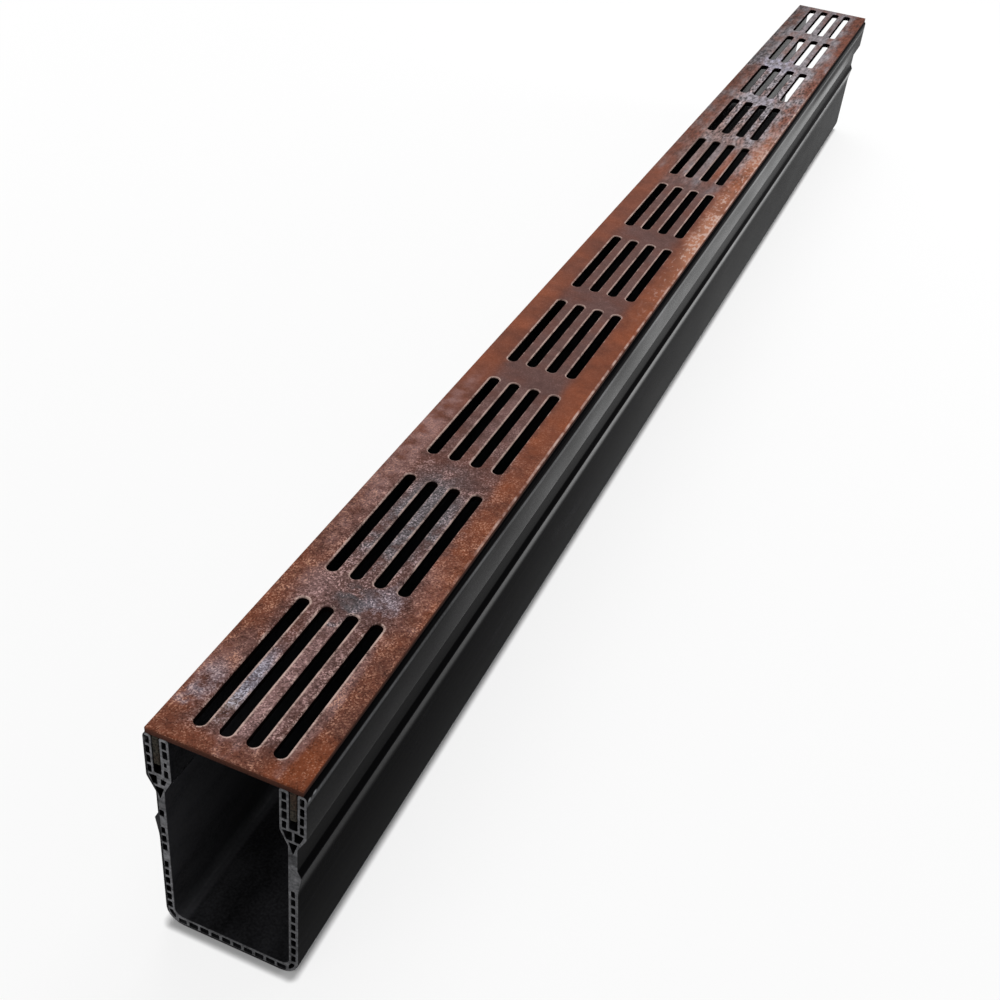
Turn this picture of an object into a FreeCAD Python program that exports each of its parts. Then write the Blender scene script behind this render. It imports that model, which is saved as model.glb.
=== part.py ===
# Threshold channel drain: a twin-skin plastic channel with a slotted steel grate dropped into it.
# Millimetres. X runs across the drain, Y along its length, Z up. The origin is on the ground, at its middle.
import FreeCAD, Part
import os
from math import hypot, sin, tan

# The whole drain
drain_length = 1000.0

# Channel: the box below
channel_height = 100.0
box_width = 56.0
wall_thickness = 3.75
floor_thickness = 4.6
floor_corner_radius = 7.5
inner_corner_radius = 3.5

# Channel: the forked head on each wall, with the slot for a grate leg between its two prongs
head_overhang = 3.2
outer_prong = 3.5
inner_prong = 4.25
slot_depth = 18.2
slot_floor_skin = 1.8
head_taper_height = 7.3
taper_radius = 3.0
prong_edge_radius = 0.3
slot_corner_radius = 0.8

# Channel: the keying ridge half-way down each side
ridge_below_head = 16.2
ridge_reach = 1.4
ridge_rise = 3.5
ridge_fall = 6.0
ridge_radius = 0.4

# Channel: the hollow cells between its skins
skin = 1.15
rung = 1.15
cell_pitch = 4.7
prong_cell_count = 4
fork_cell_height = 4.0
throat_cell_height = 6.0
neck_cell_height = 3.2
neck_cell_above_ridge = 3.1
solid_below_ridge = 2.4
lowest_wall_cell = 8.0

# Grate: the slotted plate
plate_inset = 1.2
plate_thickness = 3.0
plate_edge_radius = 0.4
grate_slot_length = 73.0
grate_slot_width = 5.0
bar_between_slots = 5.3
slots_across = 4
bridge_between_groups = 18.0
least_end_land = 6.0

# Grate: the legs under the plate
leg_thickness = 2.5
leg_clearance = 0.2
leg_foot_gap = 4.4

# Places across one wall, as X on the right-hand side
box_outside = box_width / 2
box_inside = box_outside - wall_thickness
wall_middle = (box_outside + box_inside) / 2
head_outside = box_outside + head_overhang
slot_outside = head_outside - outer_prong
slot_inside = slot_outside - leg_thickness - 2 * leg_clearance
slot_middle = (slot_outside + slot_inside) / 2
head_inside = slot_inside - inner_prong

# Heights on one wall
slot_floor = channel_height - slot_depth
taper_top = slot_floor - slot_floor_skin
taper_bottom = taper_top - head_taper_height
ridge_height = taper_bottom - ridge_below_head


def rounded_corner(before, corner, after, radius):
    """The start, middle and end of the arc that rounds a corner between the points before and after it."""
    to_before = (before - corner).normalize()
    to_after = (after - corner).normalize()
    half_angle = to_before.getAngle(to_after) / 2
    set_back = radius / tan(half_angle)
    depth = radius / sin(half_angle) - radius
    middle = corner + (to_before + to_after).normalize() * depth
    return corner + to_before * set_back, middle, corner + to_after * set_back


def on_near_end(x, z):
    """A point of the section, on the drain's near end."""
    return FreeCAD.Vector(x, -drain_length / 2, z)


def rounded_outline(corners):
    """A closed wire on the near end, through corners given as X, Z and a rounding radius."""
    points = [on_near_end(x, z) for x, z, radius in corners]
    arcs = []
    for index, point in enumerate(points):
        following = points[(index + 1) % len(points)]
        arcs.append(rounded_corner(points[index - 1], point, following, corners[index][2]))
    edges = []
    for index, (start, middle, end) in enumerate(arcs):
        edges.append(Part.makeLine(arcs[index - 1][2], start))
        edges.append(Part.Arc(start, middle, end).toShape())
    return Part.Wire(edges)


def sharp_outline(corners, side):
    """A closed wire on the near end, through corners given as X and Z: mirrored where side is -1."""
    points = [on_near_end(side * x, z) for x, z in corners]
    return Part.makePolygon(points + points[:1])


def wall_path():
    """The right-hand wall: up its outside, over the two prongs and down its inside to the floor."""
    return [
        (box_outside, 0, floor_corner_radius),
        (box_outside, ridge_height - ridge_fall, ridge_radius),
        (box_outside + ridge_reach, ridge_height, ridge_radius),
        (box_outside, ridge_height + ridge_rise, ridge_radius),
        (box_outside, taper_bottom, taper_radius),
        (head_outside, taper_top, taper_radius),
        (head_outside, channel_height, prong_edge_radius),
        (slot_outside, channel_height, prong_edge_radius),
        (slot_outside, slot_floor, slot_corner_radius),
        (slot_inside, slot_floor, slot_corner_radius),
        (slot_inside, channel_height, prong_edge_radius),
        (head_inside, channel_height, prong_edge_radius),
        (head_inside, taper_top, taper_radius),
        (box_inside, taper_bottom, taper_radius),
        (box_inside, floor_thickness, inner_corner_radius),
    ]


def cell(left, right, bottom, top):
    """The corners of a cell with two upright sides."""
    return [(left, bottom), (right, bottom), (right, top), (left, top)]


def inner_taper(height):
    """X of the inside skin's hollow side at a height on the head's taper."""
    lean = (head_inside - box_inside) / head_taper_height
    return box_inside + lean * (height - taper_bottom) + skin * hypot(1, lean)


def outer_taper(height):
    """X of the outside skin's hollow side at a height on the head's taper."""
    lean = (head_outside - box_outside) / head_taper_height
    return box_outside + lean * (height - taper_bottom) - skin * hypot(1, lean)


def prong_cells():
    """The columns of cells in the two prongs, as tall as the prongs leave room for."""
    bottom = taper_top + rung
    pitch = (channel_height - skin + rung - bottom) / prong_cell_count
    cells = []
    for index in range(prong_cell_count):
        low = bottom + index * pitch
        high = low + pitch - rung
        cells.append(cell(slot_outside + skin, head_outside - skin, low, high))
        cells.append(cell(head_inside + skin, slot_inside - skin, low, high))
    return cells


def fork_cells():
    """The pair of cells under the slot, either side of a web, and the three-sided one in the throat below."""
    low = taper_top - fork_cell_height
    web_inside = slot_middle - rung / 2
    web_outside = slot_middle + rung / 2
    throat_top = low - rung
    inner_slope = [(inner_taper(taper_top), taper_top), (inner_taper(low), low)]
    outer_slope = [(outer_taper(low), low), (outer_taper(taper_top), taper_top)]
    inside = inner_slope + [(web_inside, low), (web_inside, taper_top)]
    outside = outer_slope + [(web_outside, taper_top), (web_outside, low)]
    throat_tip = (wall_middle, throat_top - throat_cell_height)
    throat = [throat_tip, (outer_taper(throat_top), throat_top), (inner_taper(throat_top), throat_top)]
    return [inside, outside, throat]


def wall_cells():
    """The column of cells in the box's wall, as many as fit below the ridge, and the single one above it."""
    left = box_inside + skin
    right = box_outside - skin
    neck_low = ridge_height + neck_cell_above_ridge
    cells = [cell(left, right, neck_low, neck_low + neck_cell_height)]
    count = int((ridge_height - solid_below_ridge + rung - lowest_wall_cell) / cell_pitch)
    for index in range(count):
        low = lowest_wall_cell + index * cell_pitch
        cells.append(cell(left, right, low, low + cell_pitch - rung))
    return cells


def floor_cells():
    """The row of cells in the right-hand half of the floor, from a rung on the middle line to the corner."""
    cells = []
    for index in range(int(box_inside / cell_pitch)):
        left = index * cell_pitch + rung / 2
        cells.append(cell(left, left + cell_pitch - rung, skin, floor_thickness - skin))
    return cells


def corner_cell():
    """The bent cell between floor and wall: a ring between the skins' arcs, cut off at the nearest rungs."""
    left = int(box_inside / cell_pitch) * cell_pitch + rung / 2
    top = lowest_wall_cell - rung
    near_end = -drain_length / 2
    along = FreeCAD.Vector(0, 1, 0)
    outer_centre = FreeCAD.Vector(box_outside - floor_corner_radius, near_end, floor_corner_radius)
    inner_height = floor_thickness + inner_corner_radius
    inner_centre = FreeCAD.Vector(box_inside - inner_corner_radius, near_end, inner_height)
    ring = Part.makeCylinder(floor_corner_radius - skin, drain_length, outer_centre, along)
    ring = ring.cut(Part.makeCylinder(inner_corner_radius + skin, drain_length, inner_centre, along))
    return ring.common(Part.makeBox(box_width, drain_length, top, FreeCAD.Vector(left, near_end, 0)))


def channel():
    """The extrusion: its section with every cell as a hole, drawn out over the whole length."""
    right_wall = wall_path()
    left_wall = [(-x, z, radius) for x, z, radius in reversed(right_wall)]
    wires = [rounded_outline(right_wall + left_wall)]
    for corners in prong_cells() + fork_cells() + wall_cells() + floor_cells():
        wires.append(sharp_outline(corners, 1))
        wires.append(sharp_outline(corners, -1))
    section = Part.makeFace(wires, "Part::FaceMakerBullseye")
    solid = section.extrude(FreeCAD.Vector(0, drain_length, 0))
    right_corner = corner_cell()
    left_corner = right_corner.mirror(FreeCAD.Vector(0, 0, 0), FreeCAD.Vector(1, 0, 0))
    return solid.cut([right_corner, left_corner])


def grate_slot(x, y):
    """The outline of one round-ended slot on the plate's underside, centred on x and y."""
    half_width = grate_slot_width / 2
    half_straight = grate_slot_length / 2 - half_width
    left = x - half_width
    right = x + half_width
    far = y + half_straight
    near = y - half_straight
    near_left = FreeCAD.Vector(left, near, channel_height)
    far_left = FreeCAD.Vector(left, far, channel_height)
    far_tip = FreeCAD.Vector(x, far + half_width, channel_height)
    far_right = FreeCAD.Vector(right, far, channel_height)
    near_right = FreeCAD.Vector(right, near, channel_height)
    near_tip = FreeCAD.Vector(x, near - half_width, channel_height)
    return Part.Wire([
        Part.makeLine(near_left, far_left),
        Part.Arc(far_left, far_tip, far_right).toShape(),
        Part.makeLine(far_right, near_right),
        Part.Arc(near_right, near_tip, near_left).toShape(),
    ])


def plate():
    """The grate's plate: groups of slots, as many as the length has room for, and its top edges eased."""
    half_width = head_outside - plate_inset
    pitch_along = grate_slot_length + bridge_between_groups
    pitch_across = grate_slot_width + bar_between_slots
    group_count = int((drain_length - 2 * least_end_land + bridge_between_groups) / pitch_along)
    near_left = FreeCAD.Vector(-half_width, -drain_length / 2, channel_height)
    wires = [Part.makePlane(2 * half_width, drain_length, near_left).OuterWire]
    for group in range(group_count):
        for row in range(slots_across):
            x = (row - (slots_across - 1) / 2) * pitch_across
            y = (group - (group_count - 1) / 2) * pitch_along
            wires.append(grate_slot(x, y))
    section = Part.makeFace(wires, "Part::FaceMakerBullseye")
    solid = section.extrude(FreeCAD.Vector(0, 0, plate_thickness))
    return solid.makeFillet(plate_edge_radius, top_rim(solid))


def top_rim(solid):
    """The four edges round the outside of a plate's upper face."""
    upper_face = max(solid.Faces, key=lambda face: face.BoundBox.ZMin)
    return upper_face.OuterWire.Edges


def leg(side):
    """One flat bar under the plate, standing in the slot of the head on that side: -1 is left, 1 is right."""
    left = side * slot_middle - leg_thickness / 2
    foot = slot_floor + leg_foot_gap
    corner = FreeCAD.Vector(left, -drain_length / 2, foot)
    return Part.makeBox(leg_thickness, drain_length, channel_height - foot, corner)


os.makedirs("parts", exist_ok=True)
pieces = {
    "channel_body": channel(),
    "grate_plate": plate(),
    "grate_leg_left": leg(-1),
    "grate_leg_right": leg(1),
}
for name, shape in pieces.items():
    shape.exportStep("parts/" + name + ".step")
    print(name, "volume", round(shape.Volume), "solids", len(shape.Solids), "valid", shape.isValid())
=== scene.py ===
# %% [markdown]
# # A threshold channel drain
# This drain lies across a doorway. A black plastic channel, one hollow-walled extrusion a metre
# long, carries the water, and a slotted plate of weathering steel lies over it on two flat legs.
# The CAD model has already settled every size, so it is loaded first as a fixed frame. The lesson
# then remakes its pieces with softer edges and finer ends, gives them their finishes, and lights
# them as in the photograph.

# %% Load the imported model
from functools import reduce
from math import radians

import bpy
import numpy as np
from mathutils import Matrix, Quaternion, Vector
from mathutils.geometry import tessellate_polygon


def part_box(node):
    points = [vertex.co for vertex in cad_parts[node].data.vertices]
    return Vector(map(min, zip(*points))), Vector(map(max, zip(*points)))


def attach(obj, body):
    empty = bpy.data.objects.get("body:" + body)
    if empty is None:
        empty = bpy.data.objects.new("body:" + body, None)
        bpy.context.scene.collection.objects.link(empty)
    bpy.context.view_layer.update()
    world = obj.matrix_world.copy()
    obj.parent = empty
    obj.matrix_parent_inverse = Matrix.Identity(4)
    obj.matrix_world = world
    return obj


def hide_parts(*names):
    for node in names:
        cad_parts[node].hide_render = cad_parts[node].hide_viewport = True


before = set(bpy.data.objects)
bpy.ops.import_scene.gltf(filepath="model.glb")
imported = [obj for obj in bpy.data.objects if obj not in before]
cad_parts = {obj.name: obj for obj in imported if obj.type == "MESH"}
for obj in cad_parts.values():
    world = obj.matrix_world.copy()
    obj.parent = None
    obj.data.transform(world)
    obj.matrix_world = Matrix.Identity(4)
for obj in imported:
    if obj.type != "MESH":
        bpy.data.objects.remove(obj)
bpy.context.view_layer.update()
print("CAD nodes:", sorted(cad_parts))

# %% [markdown]
# ## The camera
# The slots repeat evenly, so their places in the photograph give the camera: it stands in front of
# the near end, a little to the right, and looks down along the drain. The picture is square, and
# the lens is a normal one. Blender's camera looks along its own -Z axis, so a tracking rotation
# points it, and a small roll tilts the horizon.

# %% Camera
camera_place = Vector((0.1695, -0.7452, 0.4333))
camera_turn = radians(19.09)
camera_dip = radians(36.66)
camera_roll = radians(6.55)
camera_lens = 47.45

flat_direction = Vector((-np.sin(camera_turn), np.cos(camera_turn), 0.0)) * np.cos(camera_dip)
camera_direction = flat_direction - Vector((0.0, 0.0, np.sin(camera_dip)))
camera_data = bpy.data.cameras.new("camera")
camera_data.lens = camera_lens
camera = bpy.data.objects.new("camera", camera_data)
camera.location = camera_place
camera.rotation_mode = "QUATERNION"
camera.rotation_quaternion = camera_direction.to_track_quat("-Z", "Y") @ Quaternion((0, 0, 1), camera_roll)
bpy.context.scene.collection.objects.link(camera)
bpy.context.scene.camera = camera
print("Camera at", tuple(round(value, 4) for value in camera_place), "with a lens of", camera_lens, "mm")

# %% [markdown]
# ## From arrays to pieces
# Every piece below is worked out in millimetres as numpy arrays of points and faces.

# %% A helper that makes a piece
millimetre = 0.001
per_metre = 1000.0
smooth_limit = radians(32)


def make_piece(name, points, faces, slot, *stands_for):
    """A mesh object from points in millimetres and corner numbers, smooth where faces meet gently."""
    mesh = bpy.data.meshes.new(name)
    mesh.from_pydata(points * millimetre, [], faces)
    mesh.shade_smooth()
    mesh.set_sharp_from_angle(angle=smooth_limit)
    piece = bpy.data.objects.new(name, mesh)
    bpy.context.scene.collection.objects.link(piece)
    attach(piece, "root")
    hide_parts(*stands_for)
    print(name, "has", len(mesh.vertices), "points and", len(mesh.polygons), "faces")
    return piece


print("Pieces are worked out in millimetres,", per_metre, "to a metre")

# %% [markdown]
# ## Rounded corners
# An extrusion has no razor edges: its die rounds each corner a little. A section is listed as
# corners with a radius each, and the corners are rounded all at once: the arc's two ends lie on the
# corner's sides, and the points between them turn evenly about the arc's centre. The same function
# serves the big floor corners and the tiny cells.

# %% Rounded outlines
arc_steps = 6


def rounded(corners, radii):
    """Closed outlines with rounded corners, for corners in an array of shape (outlines, corners, 2).

    A corner's arc has its centre on the bisector, at radius / sin(half the corner's angle). Its points
    are the turned mixes of the directions from that centre to its two ends: sin of the angle left over
    and sin of the angle done, divided by the sin of the whole turn."""
    to_before = np.roll(corners, 1, axis=1) - corners
    to_after = np.roll(corners, -1, axis=1) - corners
    to_before = to_before / np.linalg.norm(to_before, axis=2, keepdims=True)
    to_after = to_after / np.linalg.norm(to_after, axis=2, keepdims=True)
    half_angle = np.arccos(np.clip((to_before * to_after).sum(2), -1, 1))[..., None] / 2
    radii = np.asarray(radii, float)[..., None]
    bisector = to_before + to_after
    bisector = bisector / np.linalg.norm(bisector, axis=2, keepdims=True)
    centre = corners + bisector * radii / np.sin(half_angle)
    set_back = radii / np.tan(half_angle)
    first = (corners + to_before * set_back - centre)[:, :, None]
    last = (corners + to_after * set_back - centre)[:, :, None]
    turn = (np.pi - 2 * half_angle)[:, :, None]
    share = np.linspace(0, 1, arc_steps)[None, None, :, None]
    arcs = (np.sin(turn * (1 - share)) * first + np.sin(turn * share) * last) / np.sin(turn)
    return (centre[:, :, None] + arcs).reshape(len(corners), -1, 2)


def outward(outline):
    """Unit directions out of a counter-clockwise outline: square to the line between the neighbours."""
    along = np.roll(outline, -1, axis=-2) - np.roll(outline, 1, axis=-2)
    across = np.stack([along[..., 1], -along[..., 0]], axis=-1)
    return across / np.linalg.norm(across, axis=-1, keepdims=True)


print("A rounded corner has", arc_steps, "points")

# %% [markdown]
# ## The channel's section
# The extrusion is a deep U with twin skins. Each wall ends in a forked head with a slot for a leg
# of the grate, and carries a small keying ridge half-way down, which holds it in mortar. The
# right-hand wall is listed once, from the outside bottom corner up and over the head to the inside
# bottom corner, and the left one is its mirror image.

# %% Outline of the channel
right_wall = np.array([
    (28.0, 0.0, 7.5),
    (28.0, 48.8, 30.0),
    (29.3, 57.6, 0.35),
    (27.75, 60.8, 0.5),
    (27.75, 72.1, 3.0),
    (31.2, 78.8, 3.0),
    (31.2, 100.0, 1.9),
    (27.85, 100.0, 1.0),
    (27.85, 81.6, 0.8),
    (24.65, 81.6, 0.8),
    (24.65, 100.0, 0.9),
    (21.0, 100.0, 0.9),
    (21.0, 79.6, 3.0),
    (24.25, 72.7, 3.0),
    (24.25, 4.6, 3.5),
])
mirror = np.array([-1.0, 1.0])
left_wall = right_wall[::-1] * (-1.0, 1.0, 1.0)
wall_corners = np.concatenate([right_wall, left_wall])
channel_outline = rounded(wall_corners[None, :, :2], wall_corners[None, :, 2])[0]
print("The channel's outline has", len(channel_outline), "points")

# %% [markdown]
# ## The hollow cells
# Between the skins run small hollow cells, parted by rungs, which save plastic and keep the walls
# stiff. Most are upright boxes in a column or row. Under each slot lie two cells beside a web, then
# a three-sided one in the throat, and a bent one turns the corner between wall and floor.

# %% Cells on the right-hand side
rung_pitch = 4.7
cell_length = 3.55
prong_cell_length = 3.75
cell_radius = 0.42
cell_waver = 0.09
lowest_prong_cell = 80.95
lowest_wall_cell = 8.0
half_middle_rung = 0.575


def cells(left, right, bottom, top):
    """Four-cornered cells as an array of shape (cells, 4, 2): each side may be a number or an array."""
    left, right, bottom, top = np.broadcast_arrays(left, right, bottom, top)
    return np.stack([
        np.stack([left, bottom], -1),
        np.stack([right, bottom], -1),
        np.stack([right, top], -1),
        np.stack([left, top], -1),
    ], axis=-2).astype(float).reshape(-1, 4, 2)


def arc(centre, radius, first, last, count):
    """Points of an arc: the centre plus the radius times cos and sin of even angles, in degrees."""
    turn = np.radians(np.linspace(first, last, count))
    return np.array(centre) + radius * np.stack([np.cos(turn), np.sin(turn)], -1)


prong_low = lowest_prong_cell + rung_pitch * np.arange(4)
wall_low = lowest_wall_cell + rung_pitch * np.arange(10)
floor_left = half_middle_rung + rung_pitch * np.arange(5)
fork_cells = np.array([
    [(23.62, 75.7), (25.75, 75.7), (25.75, 80.6), (22.0, 80.0)],
    [(26.65, 75.7), (28.6, 75.7), (30.2, 80.0), (26.65, 80.6)],
])
box_cells = np.concatenate([
    cells(28.72, 30.3, prong_low, prong_low + prong_cell_length),
    cells(21.9, 23.75, prong_low, prong_low + prong_cell_length),
    fork_cells,
    cells(25.2, 27.05, 59.5, 62.8),
    cells(25.2, 27.05, wall_low, wall_low + cell_length),
    cells(floor_left, floor_left + cell_length, 1.0, 3.6),
])
throat_cell = np.array([[(26.125, 68.6), (28.0, 74.85), (24.2, 74.85)]])
throat_radii = [[0.2, 0.4, 0.4]]
outer_bend = arc((20.5, 7.5), 6.35, -55.7, -5.9, 6)
inner_bend = arc((20.75, 8.1), 4.65, -15.6, -44.4, 4)
corner_cell = np.concatenate([outer_bend, inner_bend])[None]
corner_radii = [[0.3, 0.2, 0.2, 0.2, 0.2, 0.3, 0.3, 0.2, 0.2, 0.3]]
die = np.random.default_rng(5)
box_cells = box_cells + die.uniform(-cell_waver, cell_waver, box_cells.shape)
right_cells = list(rounded(box_cells, np.full((len(box_cells), 4), cell_radius)))
right_cells += list(rounded(throat_cell, throat_radii))
right_cells += list(rounded(corner_cell, corner_radii))
left_cells = [(cell * mirror)[::-1] for cell in right_cells]
print("Each side of the channel has", len(right_cells), "cells")

# %% [markdown]
# ## Carrying the section along the drain
# The section runs straight from end to end, so it needs rings of points only near the two saw cuts.
# There the saw leaves a slight lip: it drags plastic into some cells, and closes a few of them.
# Each ring is the section moved in or out along its own normals, and the closed cells end just
# behind the cut. The two cut faces are flat, so they are filled with triangles around the open
# cells.

# %% Helper for a section carried along the drain
half_length = 500.0


def carried_section(loops, places, insets, scales, shut):
    """Points and faces of closed loops carried along Y, for a section that is filled between its loops.

    A point stands at its loop's X and Z, scaled about the loop's middle and then moved by an inset
    against the loop's outward direction, and at its ring's Y: all three are given for each ring and
    loop. The first loop is the outside, and the others are holes. shut says which loops are closed at
    the near and at the far end: those get a face of their own, and the cut face goes across them."""
    sizes = np.array([len(loop) for loop in loops])
    firsts = np.concatenate([[0], np.cumsum(sizes)[:-1]])
    owner = np.repeat(np.arange(len(loops)), sizes)
    flat = np.concatenate(loops)
    directions = np.concatenate([outward(loop) for loop in loops])
    middles = np.array([loop.mean(axis=0) for loop in loops])[owner]
    rings = middles + (flat - middles) * scales[:, owner, None] - directions * insets[:, owner, None]
    points = np.stack([rings[..., 0], places[:, owner], rings[..., 1]], axis=-1)
    count = len(flat)
    here = np.arange(count)
    following = here + 1
    following[firsts + sizes - 1] = firsts
    side = np.stack([here, here + count, following + count, following], axis=-1)
    turned = np.where((owner > 0)[:, None], side[:, ::-1], side)
    steps = count * np.arange(len(places) - 1)
    faces = (turned[None] + steps[:, None, None]).reshape(-1, 4).tolist()
    for end, ring, facing in ((0, 0, 1.0), (1, len(places) - 1, -1.0)):
        corners = rings[ring]
        is_open = [index for index in range(len(loops)) if index == 0 or not shut[end][index]]
        numbers = np.concatenate([here[firsts[i]:firsts[i] + sizes[i]] for i in is_open])
        outlines = [[(x, z, 0.0) for x, z in corners[firsts[i]:firsts[i] + sizes[i]]] for i in is_open]
        triangles = numbers[np.array(tessellate_polygon(outlines))]
        a, b, c = (corners[triangles[:, k]] for k in range(3))
        area = (b[:, 0] - a[:, 0]) * (c[:, 1] - a[:, 1]) - (b[:, 1] - a[:, 1]) * (c[:, 0] - a[:, 0])
        triangles = np.where((area * facing > 0)[:, None], triangles, triangles[:, ::-1])
        faces += (triangles + count * ring).tolist()
        closed = [index for index in range(len(loops)) if shut[end][index]]
        lids = [here[firsts[i]:firsts[i] + sizes[i]] + count * ring for i in closed]
        faces += [lid[::-int(facing)].tolist() for lid in lids]
    return points.reshape(-1, 3), faces


print("A section can be carried over", 2 * half_length, "mm")

# %% [markdown]
# Most cells keep about their size at the cut. Three at each end are closed by dragged plastic, and
# two more at the near end are narrowed. They are listed by their number in their column, counted
# from below.

# %% Channel with its saw-cut ends
saw = np.random.default_rng(11)
channel_loops = [channel_outline] + right_cells + left_cells
loop_count = len(channel_loops)
first_right, first_left = 1, 1 + len(right_cells)
inner_prong, fork_inside, neck, wall_column = 4, 8, 10, 11
shut = np.zeros((2, loop_count), bool)
shut[0, [first_left + wall_column + 6, first_right + neck, first_right + wall_column + 9]] = True
shut[1, [first_right + inner_prong, first_left + wall_column + 3, first_left + wall_column + 7]] = True

lip_depth = 0.3
lip_range = (-0.2, 0.1)
lip_share = np.array([1.0, 0.35, 0.0, 0.0, 0.35, 1.0])
ring_places = np.array([-500.0, -499.86, -499.4, 499.4, 499.86, 500.0])
places = np.repeat(ring_places[:, None], loop_count, axis=1)
places[:2] += lip_depth * shut[0]
places[4:] -= lip_depth * shut[1]
lip = saw.uniform(*lip_range, (2, loop_count))
lip[:, 0] = lip_range[1]
insets = np.repeat(lip, 3, axis=0) * lip_share[:, None]
narrowed = [first_left + inner_prong + 1, first_left + fork_inside]
scales = np.ones((6, loop_count))
scales[0, narrowed] = 0.55
scales[1, narrowed] = 0.75
channel_points, channel_faces = carried_section(channel_loops, places, insets, scales, shut)
channel = make_piece("channel_body_extrusion", channel_points, channel_faces, "black_plastic", "channel_body")
print("The saw has closed", shut[0].sum(), "cells at the near end and", shut[1].sum(), "at the far end")

# %% [markdown]
# ## The grate's plate
# The plate is sheet steel with eleven groups of four round-ended slots. A punch rounds the rim that
# it enters through, and that soft rim catches the light on the real plate. A boolean cut would
# leave sharp rims, so the sheet is built around its slots: each slot has a ring of faces whose
# section runs over the top, round the rim, down the slot's wall and back under the sheet. Rings of
# neighbouring slots share their border points and are welded there.

# %% Ring around one slot
plate_low, plate_high = 100.0, 103.0
slot_half_width = 2.5
slot_half_straight = 34.0
row_pitch = 10.3
group_pitch = 91.0
rim_radius = 0.55
under_radius = 0.2
tiny = 1e-9

corner_angle = np.arctan2(group_pitch / 2 - slot_half_straight, row_pitch / 2)
quarter = np.concatenate([np.linspace(0, corner_angle, 6), np.linspace(corner_angle, np.pi / 2, 4)[1:]])
reach = np.minimum(
    row_pitch / 2 / np.maximum(np.cos(quarter), tiny),
    (group_pitch / 2 - slot_half_straight) / np.maximum(np.sin(quarter), tiny),
)
straight = np.array([0.0, 9.0, 18.0, 26.0])
quarter_direction = np.concatenate([
    np.stack([np.ones(4), np.zeros(4)], -1),
    np.stack([np.cos(quarter), np.sin(quarter)], -1),
])
quarter_spine = np.concatenate([straight, np.full(len(quarter), slot_half_straight)])
quarter_reach = np.concatenate([np.full(4, row_pitch / 2), reach])


def all_quarters(direction, spine, span):
    """A quarter of the ring, mirrored into the other three in counter-clockwise order, no point twice."""
    first = np.concatenate([direction, spine[:, None], span[:, None]], axis=1)
    half = np.concatenate([first, (first[::-1] * (-1, 1, 1, 1))[1:]])
    return np.concatenate([half, (half[::-1] * (1, -1, -1, 1))[1:-1]])


ring_lines = all_quarters(quarter_direction, quarter_spine, quarter_reach)
print("The ring around a slot has", len(ring_lines), "points")

# %% [markdown]
# The ring's section is a list of distances from the slot's edge with heights. Close to the edge the
# points follow two quarter circles, a wide one above and a narrow one below. Two narrow bands
# beside the rim keep the flat top flat in its shading. The border's points are further out, where
# the ring meets its neighbours.

# %% Section of the ring
round_steps = np.radians(np.linspace(0, 90, 7))
over = np.stack([rim_radius * (1 - np.sin(round_steps)),
                 plate_high - rim_radius * (1 - np.cos(round_steps))], -1)
under = np.stack([under_radius * (1 - np.cos(round_steps[::2])),
                  plate_low + under_radius * (1 - np.sin(round_steps[::2]))], -1)
ring_section = np.concatenate([[(1.2, plate_high), (0.7, plate_high)], over, under, [(0.6, plate_low)]])


def slot_ring():
    """One slot's ring, shape (section points, ring points, 3).

    A point lies at its place on the spine plus its direction times the sum of half the slot's width and
    its distance from the edge. The first and last rows are the border, which lies at the spine plus the
    direction times its reach."""
    direction, spine, span = ring_lines[:, :2], ring_lines[:, 2], ring_lines[:, 3]
    far = np.concatenate([[span], slot_half_width + ring_section[:, :1] + 0 * span, [span]])
    heights = np.concatenate([[plate_high], ring_section[:, 1], [plate_low]])
    x = direction[:, 0] * far
    y = spine + direction[:, 1] * far
    return np.stack([x, y, heights[:, None] + 0 * x], axis=-1)


one_ring = slot_ring()
print("One ring has", one_ring.shape[0], "rows")

# %% [markdown]
# Forty-four copies of the ring fill the slotted field, four across and eleven along. The outermost
# rings are longer than the sheet, so their points are brought back to its two ends.

# %% Slotted field
edge_inset = 0.7
half_width = 30.0
row_centres = (np.arange(4) - 1.5) * row_pitch
group_centres = (np.arange(11) - 5.0) * group_pitch
field_half_width = 2 * row_pitch
field_half_length = half_length - edge_inset


def grid_faces(rows, columns, closed):
    """Corner numbers of the quads of a grid, whose columns may close into a ring."""
    numbers = np.arange(rows * columns).reshape(rows, columns)
    if closed:
        numbers = np.concatenate([numbers, numbers[:, :1]], axis=1)
    corners = [numbers[:-1, :-1], numbers[1:, :-1], numbers[1:, 1:], numbers[:-1, 1:]]
    return np.stack(corners, axis=-1).reshape(-1, 4)


def rings_of_the_field():
    """The rings of all slots, shape (slots, rows, ring points, 3), ended at the sheet's two ends."""
    centres = np.stack(np.meshgrid(row_centres, group_centres), axis=-1).reshape(-1, 2)
    rings = np.repeat(one_ring[None], len(centres), axis=0)
    rings[..., :2] += centres[:, None, None]
    rings[..., 1] = np.clip(rings[..., 1], -field_half_length, field_half_length)
    return rings


field = rings_of_the_field()
print("The slotted field has", len(field), "rings")

# %% [markdown]
# Plain strips make the side margins, with the same points along their length as the field's border.
# The outer edge is one more profile, carried round the whole sheet: a soft upper edge, the sheared
# face and a smaller lower edge.

# %% Margins and outer edge
on_side = np.isclose(np.abs(field[:, 0, :, 0]), field_half_width)
side_y = np.unique(np.round(field[:, 0, :, 1][on_side], 6))
on_end = np.isclose(np.abs(field[:, 0, :, 1]), field_half_length)
end_x = np.unique(np.round(field[:, 0, :, 0][on_end], 6))
margin_x = np.linspace(field_half_width, half_width - edge_inset, 4)


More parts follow.
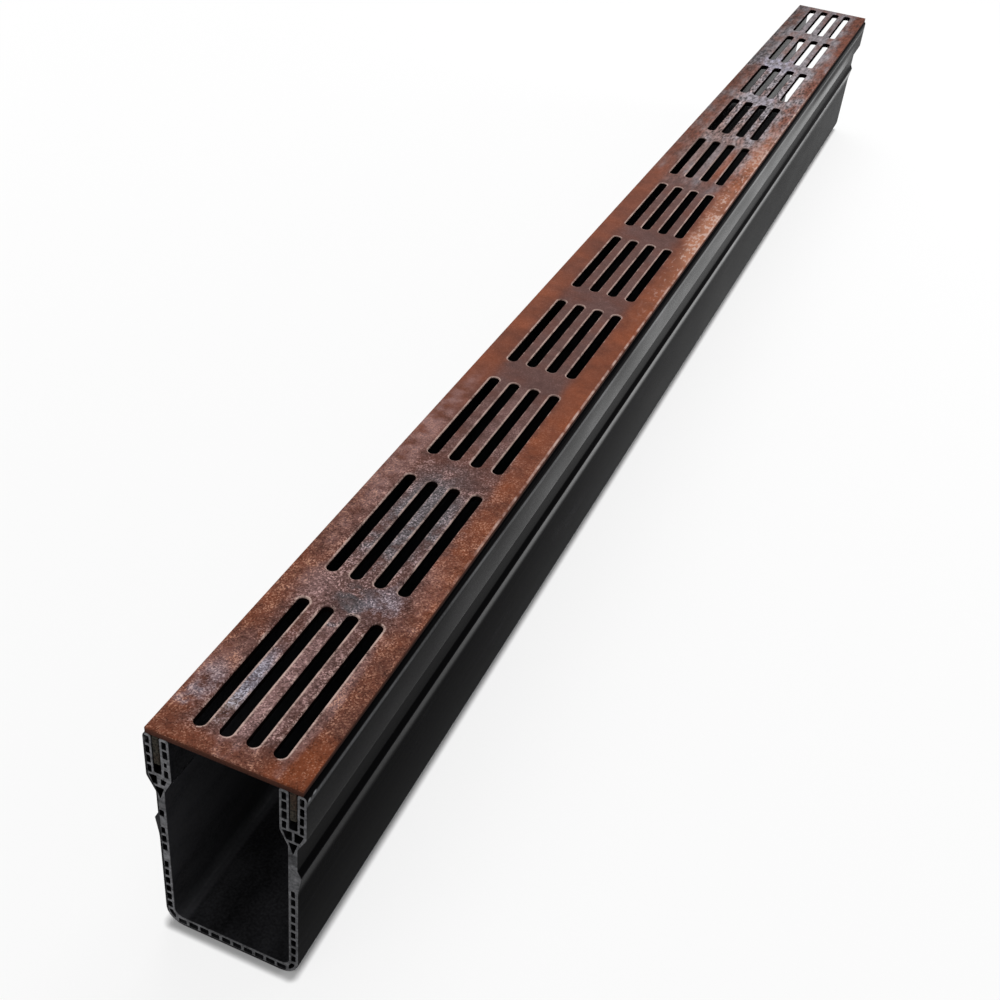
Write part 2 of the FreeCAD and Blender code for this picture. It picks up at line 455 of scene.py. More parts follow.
def margin(side, height):
    """A flat strip beside the field: X from the field to the edge, Y along the border, and one height."""
    across, along = np.meshgrid(side * margin_x, side_y)
    strip = np.stack([across, along, np.full_like(across, height)], axis=-1)
    return strip[:, ::-1] if (side > 0) == (height == plate_high) else strip


edge_x = np.concatenate([-margin_x[::-1], end_x[1:-1], margin_x])
rim_path = np.concatenate([
    np.stack([edge_x[:-1], np.full(len(edge_x) - 1, -field_half_length)], -1),
    np.stack([np.full(len(side_y) - 1, margin_x[-1]), side_y[:-1]], -1),
    np.stack([edge_x[:0:-1], np.full(len(edge_x) - 1, field_half_length)], -1),
    np.stack([np.full(len(side_y) - 1, -margin_x[-1]), side_y[:0:-1]], -1),
])
rim_out = np.stack([
    np.where(np.isclose(np.abs(rim_path[:, 0]), margin_x[-1]), np.sign(rim_path[:, 0]), 0),
    np.where(np.isclose(np.abs(rim_path[:, 1]), field_half_length), np.sign(rim_path[:, 1]), 0),
], axis=-1)
edge_radius = 0.5
edge_over = np.stack([edge_inset - edge_radius * (1 - np.sin(round_steps)),
                      plate_high - edge_radius * (1 - np.cos(round_steps))], -1)
edge_under = np.stack([edge_inset - under_radius * (1 - np.cos(round_steps[::2])),
                       plate_low + under_radius * (1 - np.sin(round_steps[::2]))], -1)
edge_section = np.concatenate([[(0.0, plate_high)], edge_over, edge_under, [(0.0, plate_low)]])
edge_band = np.concatenate([
    rim_path[None] + rim_out[None] * edge_section[:, None, :1],
    np.repeat(edge_section[:, None, 1:], len(rim_path), axis=1),
], axis=-1)
print("The plate's edge is carried round", len(rim_path), "points")

# %% [markdown]
# A grid's faces point the way its rows and columns turn. A ring's rows run inwards over the top, so
# they are taken in reverse order to point outwards like the rest. Equal points are then merged by
# rounding their coordinates.

# %% Weld the plate
parts = [(ring[::-1], True) for ring in field]
parts += [(margin(side, height), False) for side in (-1, 1) for height in (plate_high, plate_low)]
parts += [(edge_band, True)]
plate_points = np.concatenate([part.reshape(-1, 3) for part, closed in parts])
counts = np.cumsum([0] + [part.shape[0] * part.shape[1] for part, closed in parts])
plate_faces = np.concatenate([
    grid_faces(part.shape[0], part.shape[1], closed) + start for (part, closed), start in zip(parts, counts)
])
welded, number = np.unique(np.round(plate_points, 5), axis=0, return_inverse=True)
plate_faces = number.reshape(-1)[plate_faces]
plate = make_piece("slotted_plate", welded, plate_faces.tolist(), "rusted_steel", "grate_plate")

# %% [markdown]
# ## The grate's legs
# Two flat bars stand down from the plate into the slots of the heads. They are cut from hot-rolled
# flat bar, so their long edges are soft. The same carrying function makes them, with a rounded
# rectangle as its section.

# %% Legs
bar_radius = 0.4
bar_places = np.array([-500.0, -499.75, 499.75, 500.0])[:, None]
bar_insets = np.array([0.25, 0.0, 0.0, 0.25])[:, None]
bar_scales = np.ones((4, 1))
never_shut = np.zeros((2, 1), bool)
legs = []
for name in ("left", "right"):
    low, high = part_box("grate_leg_" + name)
    bar_outline = cells(low.x * per_metre, high.x * per_metre, low.z * per_metre, high.z * per_metre)
    bar_loop = rounded(bar_outline, np.full((1, 4), bar_radius))
    points, faces = carried_section(list(bar_loop), bar_places, bar_insets, bar_scales, never_shut)
    legs.append(make_piece("leg_bar_" + name, points, faces, "rusted_steel", "grate_leg_" + name))

# %% [markdown]
# ## Shader sums in Python
# Finishes are built from nodes, and long sums of nodes are hard to read. This small class wraps a
# socket, so that a sum of wrapped sockets is written as plain Python and each operator adds its
# Math node. Any other node comes from one method, which takes the node's type, its settings and the
# values or links of its sockets.

# %% Class for shader values
class Value:
    """An output socket that takes part in Python sums."""

    def __init__(self, socket):
        self.socket = socket

    def node(self, kind, settings, inputs, output=0):
        """Adds a node of a kind: its settings are set first, then its sockets are filled or linked."""
        tree = self.socket.id_data
        made = tree.nodes.new(kind)
        for name, setting in settings.items():
            setattr(made, name, setting)
        for key, value in inputs.items():
            if isinstance(value, Value):
                tree.links.new(value.socket, made.inputs[key])
            else:
                made.inputs[key].default_value = value
        return Value(made.outputs[output])

    def math(self, operation, *values):
        """A Math node on the values, in their order."""
        return self.node("ShaderNodeMath", {"operation": operation}, dict(enumerate(values)))

    def __add__(self, other):
        return self.math("ADD", self, other)

    def __sub__(self, other):
        return self.math("SUBTRACT", self, other)

    def __rsub__(self, other):
        return self.math("SUBTRACT", other, self)

    def __mul__(self, other):
        return self.math("MULTIPLY", self, other)

    def __truediv__(self, other):
        return self.math("DIVIDE", self, other)

    def __abs__(self):
        return self.math("ABSOLUTE", self)

    __radd__ = __add__
    __rmul__ = __mul__

    def at_least(self, other):
        """The larger of two values."""
        return self.math("MAXIMUM", self, other)

    def at_most(self, other):
        """The smaller of two values."""
        return self.math("MINIMUM", self, other)

    def fade(self, start, end):
        """0 at start and 1 at end, with a soft rise between them: start may be the larger one."""
        inputs = {"Value": self, "From Min": start, "From Max": end}
        return self.node("ShaderNodeMapRange", {"interpolation_type": "SMOOTHSTEP"}, inputs)

    def swing(self):
        """How far a noise lies from its middle value."""
        return self - 0.5


print("Shader sums are ready")

# %% [markdown]
# More helpers: one writes a colour as it looks on a screen, from 0 to 255, and gives the light
# value that Blender works with; one mixes two colours; one gives noise over the surface, which may
# be drawn out along an axis; and one gives crystals. Everything reads Object coordinates, so a
# finish stays on its piece.

# %% Helpers for colour and noise
# A Mix node has sockets for several kinds of data: these are the ones for colours
mix_share, mix_first, mix_second, mix_result = 0, 6, 7, 2


def paint(red, green, blue):
    """Light values of a screen colour: the standard curve, straight near black and a power above it."""
    screen = np.array([red, green, blue]) / 255
    light = np.where(screen <= 0.04045, screen / 12.92, ((screen + 0.055) / 1.055) ** 2.4)
    return (*light.tolist(), 1.0)


def blend(first, second, share):
    """A colour between two, at a share from 0 to 1 that is a Value."""
    inputs = {mix_share: share, mix_first: first, mix_second: second}
    return share.node("ShaderNodeMix", {"data_type": "RGBA"}, inputs, mix_result)


def noise(place, scale, detail=2.0, stretch=(1.0, 1.0, 1.0), shift=0.0):
    """Noise about 0.5, in blots of about 1 / scale metres, divided by stretch along each axis."""
    inputs = {0: place, 1: stretch, 2: (shift,) * 3}
    drawn = place.node("ShaderNodeVectorMath", {"operation": "MULTIPLY_ADD"}, inputs)
    return drawn.node("ShaderNodeTexNoise", {}, {"Vector": drawn, "Scale": scale, "Detail": detail})


def crystals(place, scale):
    """Crystals about 1 / scale metres wide, each with its own chance number about 0.5."""
    return place.node("ShaderNodeTexVoronoi", {}, {"Vector": place, "Scale": scale}, output="Color")


def new_finish(name):
    """An empty material: its Principled shader, and the place on the piece in metres."""
    material = bpy.data.materials.new(name)
    material.use_nodes = True
    shader = material.node_tree.nodes["Principled BSDF"]
    place = Value(material.node_tree.nodes.new("ShaderNodeTexCoord").outputs["Object"])
    return material, shader, place


def axes(place):
    """X, Y and Z of a place, in millimetres."""
    return [place.node("ShaderNodeSeparateXYZ", {}, {0: place}, axis) * per_metre for axis in range(3)]


def connect(value, shader, socket):
    """Links a value to one of a shader's sockets."""
    value.socket.id_data.links.new(value.socket, shader.inputs[socket])


def bumped(height, distance, strength):
    """A normal from a height between 0 and 1, where distance is its depth in metres."""
    inputs = {"Height": height, "Distance": distance, "Strength": strength}
    return height.node("ShaderNodeBump", {}, inputs)


print("A middle grey is", round(paint(128, 128, 128)[0], 3), "as light")

# %% [markdown]
# ## Weathering steel
# Weathering steel rusts to a tight brown skin. On this plate the margins are orange, the slotted
# field is a duller mauve brown, and a few places by the near end keep a blue-grey bloom of mill
# scale with bright grains, whose brightness is partly painted glints. Rims of slots and the
# right-hand edge are worn pale, and a painted highlight adds to that paleness. To know where a rim
# is, the finish works out the distance to the nearest slot itself: it folds the plate onto one slot
# and measures from that slot's spine.

# %% Distances on the plate
def plate_distances(place):
    """Places on the plate in millimetres: X, Y and Z, X and Y from the nearest slot's middle, and the
    distance from its edge, which is the distance from its spine less half its width."""
    across, along, height = axes(place)
    fold = across / row_pitch
    row = (fold.math("FRACT", fold) - 0.5) * row_pitch
    from_row = abs(row).at_least(abs(across) - 1.5 * row_pitch)
    fold = along / group_pitch + 0.5
    group = (fold.math("FRACT", fold) - 0.5) * group_pitch
    past = (abs(group) - slot_half_straight).at_least(0.0)
    from_spine = from_row.math("SQRT", from_row * from_row + past * past)
    return across, along, height, row, group, from_spine - slot_half_width


def spot(across, along, centre, size):
    """1 at the centre of an oval and 0 outside it: its size is half its width and half its length."""
    x = (across - centre[0]) / size[0]
    y = (along - centre[1]) / size[1]
    return (x * x + y * y).fade(1.0, 0.0)


def spots(across, along, *listed):
    """The strongest of several ovals, each listed as its strength, centre and half size."""
    marks = [spot(across, along, centre, size) * strength for strength, centre, size in listed]
    return reduce(Value.at_least, marks)


def shaded(colour, factor):
    """A colour made lighter or darker by a factor that is a Value."""
    return factor.node("ShaderNodeVectorMath", {"operation": "SCALE"}, {0: colour, "Scale": factor})


print("The nearest slot is known from a fold of", row_pitch, "by", group_pitch, "mm")

# %% [markdown]
# The ground colour is brown: it turns orange in the margins and along the near end, mauve in the
# slotted field, and dark in stains. Bounds of a fade on X, Y or Z are millimetres on the drain. The
# other factors are shares, found by comparing renders with the photograph. Noise of three sizes
# keeps every border uneven.

# %% Rust colours over the plate
rust_brown = paint(99, 61, 51)
rust_orange = paint(127, 67, 41)
rust_mauve = paint(90, 65, 61)
rust_dark = paint(48, 29, 25)

steel, shader, place = new_finish("weathering_steel")
across, along, height, row, group, slot_gap = plate_distances(place)
drift = noise(place, 14.0, 3.0, (1.6, 0.5, 1.0), shift=1.3)
cloud = noise(place, 55.0, 4.0, shift=3.1)
blots = noise(place, 170.0, 4.0, shift=7.7)

middle = along.fade(-360.0, -220.0) * along.fade(330.0, 180.0)
far = along.fade(40.0, 200.0)
edge_need = abs(across) + (cloud.swing() * 16 + blots.swing() * 8) * (1 - middle.at_least(far) * 0.8)
in_margin = edge_need.fade(14.0 - middle * 1.5, 26.0 - middle * 4.0)
in_margin = in_margin.at_least((along + cloud.swing() * 12).fade(-486.0, -498.0))
corner = spot(across, along, (26.0, -494.0), (17.0, 26.0))
orange_need = in_margin * (0.3 + middle * 0.16) + corner * 0.6
orange_need = orange_need + (drift.swing() * 1.5 + cloud.swing() * 1.1) * (1 - middle * 0.4)
orange = orange_need.fade(0.0, 0.95)
mauve = (1 - in_margin) * (0.8 + cloud.swing() * 2.2)
colour = blend(rust_brown, rust_orange, orange)
colour = blend(colour, rust_mauve, mauve.fade(0.1, 1.0))
stain = (cloud * 0.5 + blots * 0.5).fade(0.52, 0.3)
colour = blend(colour, rust_dark, stain * (0.35 - middle * 0.3))
print("The plate's ground colours are mixed")

# %% [markdown]
# Close to the near end the skin is coarse, and in a few places there it keeps mill scale: silver
# blue beside the first slots, neutral grey on the bars of the second group, and a pink veil between
# them. Towards the far end the skin is worn, and it is painted a mottled grey that is partly worn skin
# and partly painted sheen, but for one orange bar in the seventh group. Ovals with soft edges place
# these, and noise breaks them up.

# %% Mill scale and rubbed places
scale_blue = paint(112, 109, 120)
scale_beige = paint(126, 112, 106)
scale_grey = paint(80, 79, 82)
scale_pink = paint(127, 98, 96)
# These pale greys are partly worn skin and partly painted sheen.
rubbed_sheen_grey = paint(127, 122, 126)
rubbed_sheen_pink = paint(122, 103, 100)
rubbed_sheen_blue = paint(138, 136, 150)

uneven = 0.85 + blots.swing() * 3.0 + cloud.swing() * 1.5
bent_x = across + cloud.swing() * 14
bent_y = along + cloud.swing() * 30 + blots.swing() * 40
scale_y = along + cloud.swing() * 12 + blots.swing() * 26
left_bloom = spot(across + cloud.swing() * 6, scale_y, (-23.5, -471.0), (7.0, 15.0)) * 0.5
bar_bloom = spot(across, scale_y, (-10.3, -468.0), (5.5, 26.0))
bridge_bloom = spot(bent_x, bent_y, (11.0, -408.0), (9.0, 16.0)) * 0.55
blue = left_bloom.at_least(bar_bloom).at_least(bridge_bloom)
grey = spots(
    bent_x, bent_y,
    (1.0, (0.0, -354.0), (19.0, 46.0)),
    (0.7, (1.0, -411.0), (10.0, 14.0)),
)
bent_veils = spots(
    bent_x, bent_y,
    (1.0, (0.0, -458.0), (15.0, 56.0)),
    (0.7, (-24.0, -464.0), (9.0, 26.0)),
    (0.8, (-16.0, -409.0), (12.0, 18.0)),
    (0.45, (23.0, -395.0), (8.0, 40.0)),
)
plain_veils = spots(
    across, along,
    (0.35, (0.0, -272.0), (15.0, 50.0)),
    (0.85, (-25.0, -315.0), (9.0, 105.0)),
)
slot_veil = spot(across, scale_y, (19.0, -462.0), (5.0, 44.0)) * 0.85
pink = bent_veils.at_least(plain_veils).at_least(slot_veil)
colour = blend(colour, scale_pink, (pink * uneven).fade(0.0, 1.0) * 0.8)
colour = blend(colour, scale_grey, (grey * uneven).fade(0.0, 0.9) * 0.85)
silver = blend(scale_blue, scale_beige, scale_y.fade(-468.0, -482.0) * across.fade(-17.0, -13.0))
colour = blend(colour, silver, (blue * uneven).fade(0.0, 0.9) * 0.8)

colour = blend(colour, rust_brown, far * 0.6)
streaks = noise(place, 150.0, 5.0, (1.0, 0.28, 1.0), shift=9.4)
in_left = across.fade(-14.0, -24.0) * along.fade(330.0, 270.0)
in_right = across.fade(18.0, 28.0) * (1 + along.fade(360.0, 450.0) * 0.5)
# Painted sheen: the far part is painted pale, partly worn skin and partly a painted reflection of the bright
# surroundings at a low angle.
rubbed_and_sheen = along.fade(-30.0, 140.0) * (1.1 - in_left.at_least(in_right) * 0.6)
rubbed_and_sheen = rubbed_and_sheen + streaks.swing() * 2.2 * along.fade(-20.0, 120.0) - along.fade(360.0, 480.0) * 0.25
mottle = noise(place, 330.0, 4.0, (1.0, 0.28, 1.0), shift=2.2)
blue_bridge = spots(
    across, along,
    (1.0, (-8.0, 319.0), (22.0, 30.0)),
    (0.5, (0.0, 230.0), (18.0, 22.0)),
)
rubbed_sheen_colour = blend(rubbed_sheen_pink, rubbed_sheen_grey, (streaks + drift).fade(0.85, 1.15))
rubbed_sheen_colour = blend(rubbed_sheen_colour, rubbed_sheen_blue, (blue_bridge * (0.6 + mottle.swing() * 3.0)).fade(0.0, 1.0))
colour = blend(colour, rubbed_sheen_colour, rubbed_and_sheen.fade(0.1, 1.2) * 0.95)
# The grey bar is painted sheen as well, over worn skin.
grey_bar = spot(across, along, (-1.0, 98.0), (6.0, 46.0))
orange_bar = spot(across, along, (10.3, 88.0), (4.5, 44.0))
colour = blend(colour, rubbed_sheen_grey, grey_bar * 0.45)
colour = blend(colour, rust_orange, orange_bar * 0.7)
print("Mill scale and rubbed places are mixed in")

# %% [markdown]
# The skin is not smooth: crystals of rust about half a millimetre wide lie beside dark pits, and
# where they catch the light they are painted pale: partly their own pale colour, partly painted
# glints. They are peach on orange rust, silver on mill scale and pale pink elsewhere. By the near
# end and on the mill scale they are many and bright, along the middle they are faint. Larger blots
# and specks make the worn, sheen-painted part lighter and darker by a factor about 1, on the bars of
# the eighth and ninth groups most of all.

# %% Grains
# Pale grain colours: partly the crystals' own colour, partly painted glints.
grain_glint_pale = paint(210, 172, 168)
grain_glint_silver = paint(206, 204, 218)
grain_glint_peach = paint(206, 152, 120)

coarse = along.fade(-230.0, -380.0)
grain = noise(place, 1350.0, 2.0)
fine = noise(place, 2300.0, 2.0, shift=4.2)
chance = crystals(place, 1750.0)
scale = blue.at_least(grey).at_least(pink * 0.5)
grains = grain * 0.3 + fine * 0.2 + chance * 0.5
crowded = (blots * 0.6 + cloud * 0.4).fade(0.4, 0.62)
bare = spot(across, along, (0.0, -411.0), (9.0, 13.0)).at_least(corner)
flakes_and_glints = (grains + crowded * 0.05 + blue * 0.04 - bare * 0.05).fade(0.53, 0.76)
pits = grains.fade(0.47, 0.3)
flake_glint_colour = blend(grain_glint_pale, grain_glint_peach, in_margin * 0.85)
flake_glint_colour = blend(flake_glint_colour, grain_glint_silver, blue.at_least(grey * 0.6))
flake_glint_share = 0.06 + coarse * (0.2 + crowded * 0.5 - grey * 0.12) * (1 - orange * 0.4) + blue * 0.12
colour = blend(colour, flake_glint_colour, flakes_and_glints * flake_glint_share.at_most(0.85))
factor = 1.02 - pits * (0.1 + coarse * (0.4 - orange * 0.2) + scale * 0.12) - bare * coarse * 0.14
specks = noise(place, 760.0, 3.0, (1.0, 0.28, 1.0), shift=6.6)
last_groups = along.fade(260.0, 370.0)
mottled = mottle.swing() * 1.8 + specks.swing() * (3.6 - last_groups * 2.4)
factor = factor + blots.swing() * (0.6 - far * 0.4) + cloud.swing() * in_margin * middle * 0.6
on_bars = abs(across).fade(17.0, 14.0) * abs(group).fade(37.0, 33.0)
speckled = along.fade(-20.0, 130.0) * (1 - in_left * 0.6)
speckled = speckled * (1 + on_bars * (along.fade(110.0, 190.0) * 1.1 - 0.45) * (1 - last_groups))
factor = factor + mottled * speckled
factor = factor + across.fade(-17.0, -22.0) * middle * 0.08
factor = factor - far * across.fade(-17.0, -25.0) * 0.35 - along.fade(330.0, 480.0) * 0.2
dark_left = spot(across, along, (-26.0, 335.0), (9.0, 50.0))
factor = factor - dark_left * 0.25
factor = factor - along.fade(380.0, 470.0) * in_right * 0.1
colour = shaded(colour, factor.at_least(0.2))
print("Crystals and pits are scattered over the skin")

# %% [markdown]
# Feet and grit polish the rims of the slots and the right-hand edge to a pale beige, and a painted
# highlight is added on the side that faces the light: most rims are palest on their left and at
# their far end, those of the first group on their right, and the furthest ones not at all. The pale
# right-hand edge is partly a painted highlight too. Something was dragged along the right margin.
# The sheared sides and the walls of the slots are the opposite: they get painted shade, dark and
# darker lower down, and the sides are made lighter further along and towards the left as painted
# light. The shaded walls take a second shader without gloss, mixed in by the same mask.

# %% Rims, scrapes and sides
worn_highlight_beige = paint(192, 166, 156)
scraped_orange = paint(176, 122, 96)
sheared_brown = paint(72, 42, 32)
# The near-black colour of the slot walls is painted shade.
slot_painted_shade = paint(16, 10, 9)

first_group = along.fade(-404.0, -414.0)
# Painted highlight: rims are paler on the side that faces the light, besides their wear.
highlight_side = abs(first_group - row.fade(1.5, -1.5))
pale_highlight_share = (0.05 + highlight_side * 0.8).at_least(group.fade(33.0, 36.0) * (0.8 - coarse * 0.5))
second_group = along.fade(-404.0, -390.0) * along.fade(-310.0, -330.0)
pale_highlight_share = pale_highlight_share * (1 - along.fade(150.0, 260.0)) * (1 - second_group * 0.3)
pale_highlight_share = pale_highlight_share + (blots.swing() * 3.0 + chance.swing() * 0.8) * (1 - far)
rim = slot_gap.fade(0.9 + first_group * 0.3, 0.3 + first_group * 0.2) * pale_highlight_share
# Painted highlight, with wear, along the right-hand edge.
right_edge = across.fade(28.9, 29.45) * along.fade(-420.0, -300.0) * along.fade(320.0, 220.0)
edge_wear_highlight = right_edge * (0.55 + blots.swing() * 4.0)
scrapes = noise(place, 620.0, 4.0, (1.0, 0.45, 1.0), shift=5.5)
dragged = (across + cloud.swing() * 8).fade(18.0, 27.0)
dragged = dragged * along.fade(-170.0, -30.0) * along.fade(220.0, 50.0)
pressed = noise(place, 30.0, 3.0, (1.0, 0.4, 1.0), shift=8.3).fade(0.4, 0.58)
colour = blend(colour, scraped_orange, dragged * (0.22 + pressed * 0.5))
scraped = dragged * (scrapes + blots.swing() * 0.4 + pressed * 0.08).fade(0.55, 0.7)
wear_and_highlight = rim.at_least(edge_wear_highlight).at_least(scraped).at_most(1.0).at_least(0.0)
colour = blend(colour, worn_highlight_beige, wear_and_highlight * (0.75 + first_group * 0.2))
side = height.fade(102.55, 102.2)
# Painted shade: the sheared sides darken downwards; painted light makes them lighter further along and on the
# left.
side_shade = height.fade(102.3, 100.6) * (0.45 + abs(across).fade(29.6, 29.9) * 0.35)
side_light = 0.6 + grains * 0.9 + along.fade(-250.0, 20.0) * 0.5 + across.fade(0.0, -20.0) * 0.3
side_colour = shaded(blend(sheared_brown, slot_painted_shade, side_shade), side_light)
colour = blend(colour, side_colour, side)
# Painted shade: the slot walls, and at the far end the slots' rims, are painted near black with a matte
# shader mixed in.
slot_wall = side.at_least(far * slot_gap.fade(0.6, 0.25)) * slot_gap.fade(1.0, 0.6)
colour = blend(colour, slot_painted_shade, slot_wall)
connect(colour, shader, "Base Color")
connect(0.78 - scale * 0.12 - wear_and_highlight * 0.12 + side * 0.15 + fine.swing() * 0.3, shader, "Roughness")
shader.inputs["Specular IOR Level"].default_value = 0.06
connect(bumped(grain * 0.5 + fine * 0.35 + blots * 0.5, 0.0004, 0.6), shader, "Normal")
matte = slot_wall.node("ShaderNodeBsdfDiffuse", {}, {"Color": slot_painted_shade})
surface = slot_wall.node("ShaderNodeMixShader", {}, {0: slot_wall, 1: Value(shader.outputs[0]), 2: matte})
connect(surface, steel.node_tree.nodes["Material Output"], "Surface")
plate.data.materials.append(steel)
print("Weathering steel has", len(steel.node_tree.nodes), "nodes")

# %% [markdown]
# The legs never saw the weather: they are dull brown-grey bar, much darker than the plate, and that
# darkness is partly painted shade from the plate above them.

# %% Finish of the legs
# Leg colours: dull bar, darkened with painted shade.
shaded_bar_grey = paint(56, 55, 49)
shaded_bar_rust = paint(46, 37, 31)
bar_finish, shader, place = new_finish("dull_bar_steel")
blots = noise(place, 160.0, 4.0)
fine = noise(place, 1100.0, 2.0)
colour = blend(shaded_bar_grey, shaded_bar_rust, (blots * 0.7 + fine * 0.3).fade(0.42, 0.62))
connect(shaded(colour, (0.95 + fine.swing() * 5.0 + blots.swing() * 2.0).at_least(0.2)), shader, "Base Color")
connect(0.65 + fine * 0.2, shader, "Roughness")
shader.inputs["Specular IOR Level"].default_value = 0.02
connect(bumped(fine * 0.5 + blots * 0.5, 0.0003, 0.5), shader, "Normal")
for leg in legs:
    leg.data.materials.append(bar_finish)
print("Leg bars have", len(bar_finish.node_tree.nodes), "nodes")

# %% [markdown]
# ## Black plastic
# The channel is black plastic with a satin skin and faint lines drawn along it by the die. The saw
# leaves its two end faces rough and grey. The finish tells them from the rest by their place along
# the drain.

# %% Finish of the channel
plastic_black = paint(10, 10, 11)
# The dusty grey is partly painted light, and the scuffed grey partly a painted highlight.
dust_and_light_grey = paint(60, 60, 63)
scuffed_highlight_grey = paint(124, 125, 128)
plastic_cut = paint(95, 95, 97)

plastic, shader, place = new_finish("black_satin_plastic")
across, along, height = axes(place)
die_lines = noise(place, 420.0, 2.0, (1.0, 0.012, 1.0))
scuffs = noise(place, 60.0, 4.0, (1.0, 0.35, 1.0), shift=2.5)
rough = noise(place, 900.0, 3.0)
cut = abs(along).fade(499.7, 499.9)
outside = abs(across).fade(27.3, 27.6)
# Painted shadow and highlight: just below the plate the head stays black as a painted shadow line that widens
# along the drain, and a pale painted highlight line runs under it.
shadow_line_height = height + along.fade(-420.0, -250.0) * 2.4
head_face = height.fade(77.0, 80.0) * shadow_line_height.fade(98.6, 97.4) * outside
head_edge_highlight = shadow_line_height.fade(94.8, 96.6) * shadow_line_height.fade(98.2, 97.2) * outside
ridge_face = height.fade(47.0, 55.5) * height.fade(58.2, 57.4) * outside
inside = abs(across).fade(27.0, 25.0)
left_inside = across.fade(-18.0, -20.0) * inside * height.fade(79.0, 72.0)
neck_face = height.fade(60.0, 61.0) * height.fade(73.0, 71.5) * outside
# Dust, and painted light: the outer head faces are painted lighter where light falls, and the outside by the
# near end is painted darker.
dust_and_painted_light = head_face * 0.1 + inside * 0.35 + left_inside * 0.4 + scuffs.swing() + rough.swing() * 0.5
dust_and_painted_light = dust_and_painted_light - outside * along.fade(-280.0, -460.0) * 0.2
colour = blend(plastic_black, dust_and_light_grey, dust_and_painted_light.fade(0.0, 1.0))
nicks = spots(
    along, height,
    (1.0, (-498.0, 97.6), (1.1, 1.0)),
    (1.0, (-494.6, 97.8), (1.6, 0.9)),
)
# Scuffs, with a painted highlight on the head's top edge and faintly on the ridge.
scuffs_and_highlight = (head_edge_highlight * 0.35).at_least(ridge_face * 0.05) * (0.75 + scuffs.swing() * 2.4 + rough.swing())
scuffs_and_highlight = scuffs_and_highlight.at_least(nicks * across.fade(30.0, 30.6))
colour = blend(colour, scuffed_highlight_grey, scuffs_and_highlight.at_least(0.0).at_most(1.0))
# Painted shade: on the cut faces the left wall's outer skin and the lowest skin are painted dark.
skin_start = 27.05 + height.fade(72.5, 80.0) * 3.2
shaded_skin = (skin_start + across).fade(0.2, -0.2).at_least(height.fade(1.2, 0.8))
solid = height.fade(62.5, 64.0) * height.fade(69.5, 68.0)
smear = noise(place, 330.0, 3.0, shift=6.1)
cut_shade = 1 + rough.swing() * 1.6 + smear.swing() * 2.2
cut_shade = cut_shade.at_least(0.3) * (1 + across.fade(10.0, -25.0) * 0.4) * (1 - solid * 0.4)
colour = blend(colour, shaded(plastic_cut[:3], cut_shade), cut * (1 - shaded_skin * 0.85))
connect(colour, shader, "Base Color")
connect(0.25 + inside * 0.45 + scuffs.swing() * 0.1 + cut * 0.3, shader, "Roughness")
shader.inputs["Specular IOR Level"].default_value = 0.001
head_polish = 0.32 + along.fade(-470.0, -200.0) * 0.7 - along.fade(-180.0, 180.0) * 0.3 + head_edge_highlight * 0.2
worn_dull = (along.fade(170.0, 340.0) * height.fade(83.0, 90.0)).at_least(along.fade(380.0, 480.0))
head_polish = head_polish - worn_dull * 0.72
ridge_polish = 0.15 + along.fade(-500.0, -120.0) * 0.85 - along.fade(-60.0, 200.0) * 0.2
patchy = 1 + scuffs.swing() * 0.8 + rough.swing() * 0.8
inside_polish = 0.5 + scuffs.swing() * 0.6 + rough.swing() * 0.6
neck_polish = 0.13 + along.fade(-450.0, -200.0) * 0.1 + along.fade(-150.0, 0.0) * 0.04
neck_polish = neck_polish - along.fade(50.0, 300.0) * 0.2
wall_polish = outside * height.fade(50.0, 46.0) * along.fade(-350.0, -50.0) * along.fade(260.0, 60.0) * 0.05
polish = (head_face * head_polish + ridge_face * ridge_polish) * patchy + neck_face * neck_polish
polish = polish + inside * inside_polish + wall_polish
connect(polish * (1 - cut), shader, "Coat Weight")
shader.inputs["Coat Roughness"].default_value = 0.15
shader.inputs["Coat IOR"].default_value = 1.1
connect(bumped(die_lines * 0.6 + rough * 0.25, 0.0002, 0.5), shader, "Normal")
channel.data.materials.append(plastic)
print("Black plastic has", len(plastic.node_tree.nodes), "nodes")

# %% [markdown]
# ## Floor and light
# The drain lies on a plain white floor, under soft studio light. To the camera, and in reflections,
# floor and surroundings are white; to all other rays they give a plain, even light. Close to the
# drain the floor still shows part of its own shading, so the drain keeps its shadow. Further off
# the floor goes fully white.

# %% Floor
floor_reach = 8.0
floor_mesh = bpy.data.meshes.new("floor")
corners = np.array([(-1, -1, 0), (1, -1, 0), (1, 1, 0), (-1, 1, 0)]) * floor_reach
floor_mesh.from_pydata(corners, [], [(0, 1, 2, 3)])
floor = bpy.data.objects.new("floor", floor_mesh)
bpy.context.scene.collection.objects.link(floor)


def seen_share(tree):
    """1 for rays from the camera, in reflections and through glass, and 0 for rays that only bring light."""
    path = tree.nodes.new("ShaderNodeLightPath").outputs
    seen = Value(path["Is Camera Ray"]).at_least(Value(path["Is Glossy Ray"]))
    return seen.at_least(Value(path["Is Transmission Ray"]))


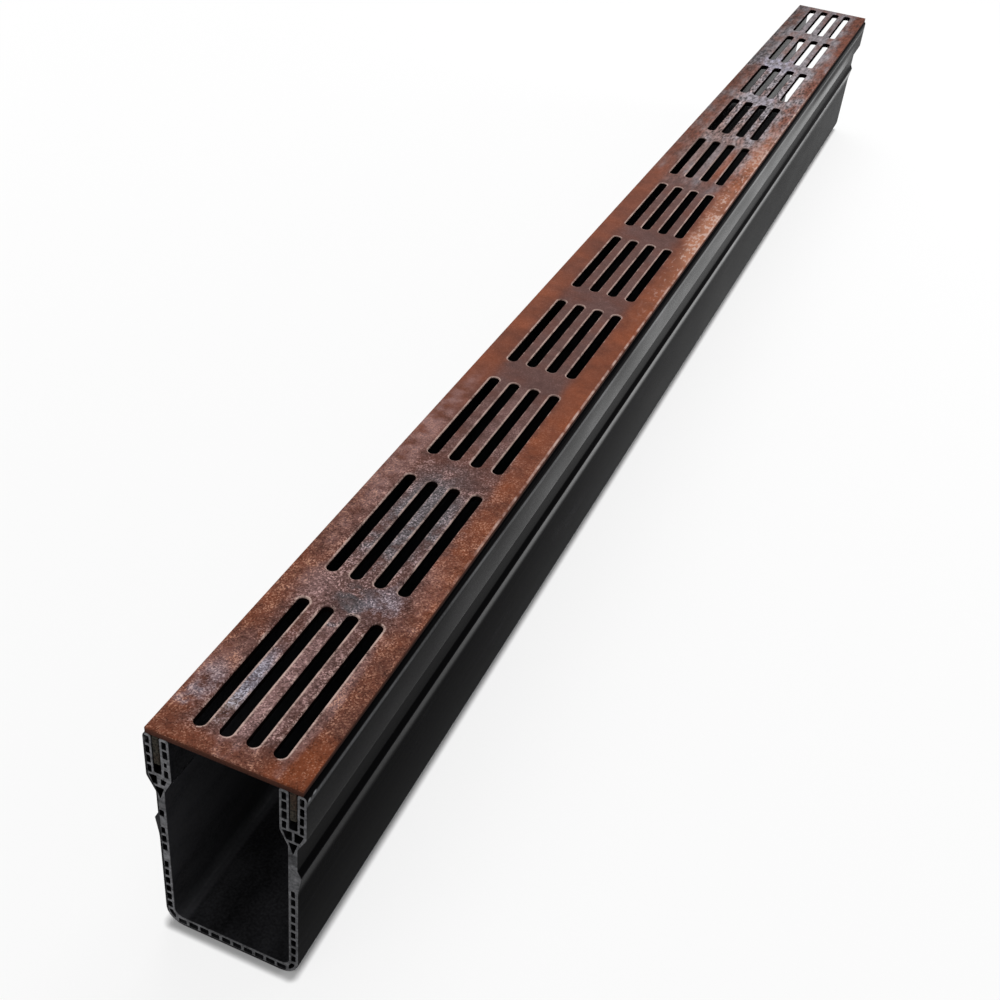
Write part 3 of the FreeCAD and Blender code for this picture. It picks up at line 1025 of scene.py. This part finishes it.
floor_finish, shader, place = new_finish("white_floor")
shader.inputs["Base Color"].default_value = (0.8, 0.8, 0.8, 1.0)
shader.inputs["Roughness"].default_value = 0.9
floor_tree = floor_finish.node_tree
white_share = 0.84
foot_half_width = 25.0
across, along, height = axes(place)
beside = (abs(across) - foot_half_width).at_least(0.0)
beyond = (abs(along) - half_length).at_least(0.0)
distance_squared = beside * beside + beyond * beyond
contact = distance_squared.fade(20.0, 0.0)
away = distance_squared.fade(10000.0, 600000.0)
share = seen_share(floor_tree) * (white_share - contact * 0.8 + away * (1 - white_share))
glow = share.node("ShaderNodeEmission", {}, {"Color": (1, 1, 1, 1), "Strength": 1.0})
mixed = share.node("ShaderNodeMixShader", {}, {0: share, 1: Value(shader.outputs[0]), 2: glow})
floor_tree.links.new(mixed.socket, floor_tree.nodes["Material Output"].inputs["Surface"])
floor_mesh.materials.append(floor_finish)
print("The floor reaches", floor_reach, "metres each way")

# %% [markdown]
# Three square lamps light the drain softly: a large one high up beyond its far end, one on the
# right for the long sheen on the plastic, and one in front for the saw cut. They are kept at a
# plain level, so that a colour renders about as it is written.

# %% World and lamps
ambient = 0.3
world = bpy.data.worlds.new("studio")
world.use_nodes = True
bpy.context.scene.world = world
background = world.node_tree.nodes["Background"]
background.inputs["Color"].default_value = (1, 1, 1, 1)
connect(seen_share(world.node_tree) * (1 - ambient) + ambient, background, "Strength")


def soft_lamp(name, place, target, size, power):
    """A square area lamp at a place, pointed at a target, both in metres."""
    data = bpy.data.lights.new(name, "AREA")
    data.size = size
    data.energy = power
    lamp = bpy.data.objects.new(name, data)
    lamp.location = place
    lamp.rotation_mode = "QUATERNION"
    lamp.rotation_quaternion = (Vector(target) - Vector(place)).to_track_quat("-Z", "Y")
    bpy.context.scene.collection.objects.link(lamp)


soft_lamp("key", (-0.3, 0.9, 1.9), (0, 0, 0.1), 1.6, 40.0)
soft_lamp("right", (1.3, 1.0, 0.35), (0, 0.1, 0.08), 0.6, 14.0)
soft_lamp("front", (-0.6, -1.9, 0.9), (0, -0.3, 0.05), 1.2, 8.0)
bpy.context.scene.view_settings.view_transform = "Standard"

# %% [markdown]
# ## Finish
# The view layer is brought up to date. The new pieces must keep inside the CAD model's
# box.

# %% Finish
bpy.context.view_layer.update()
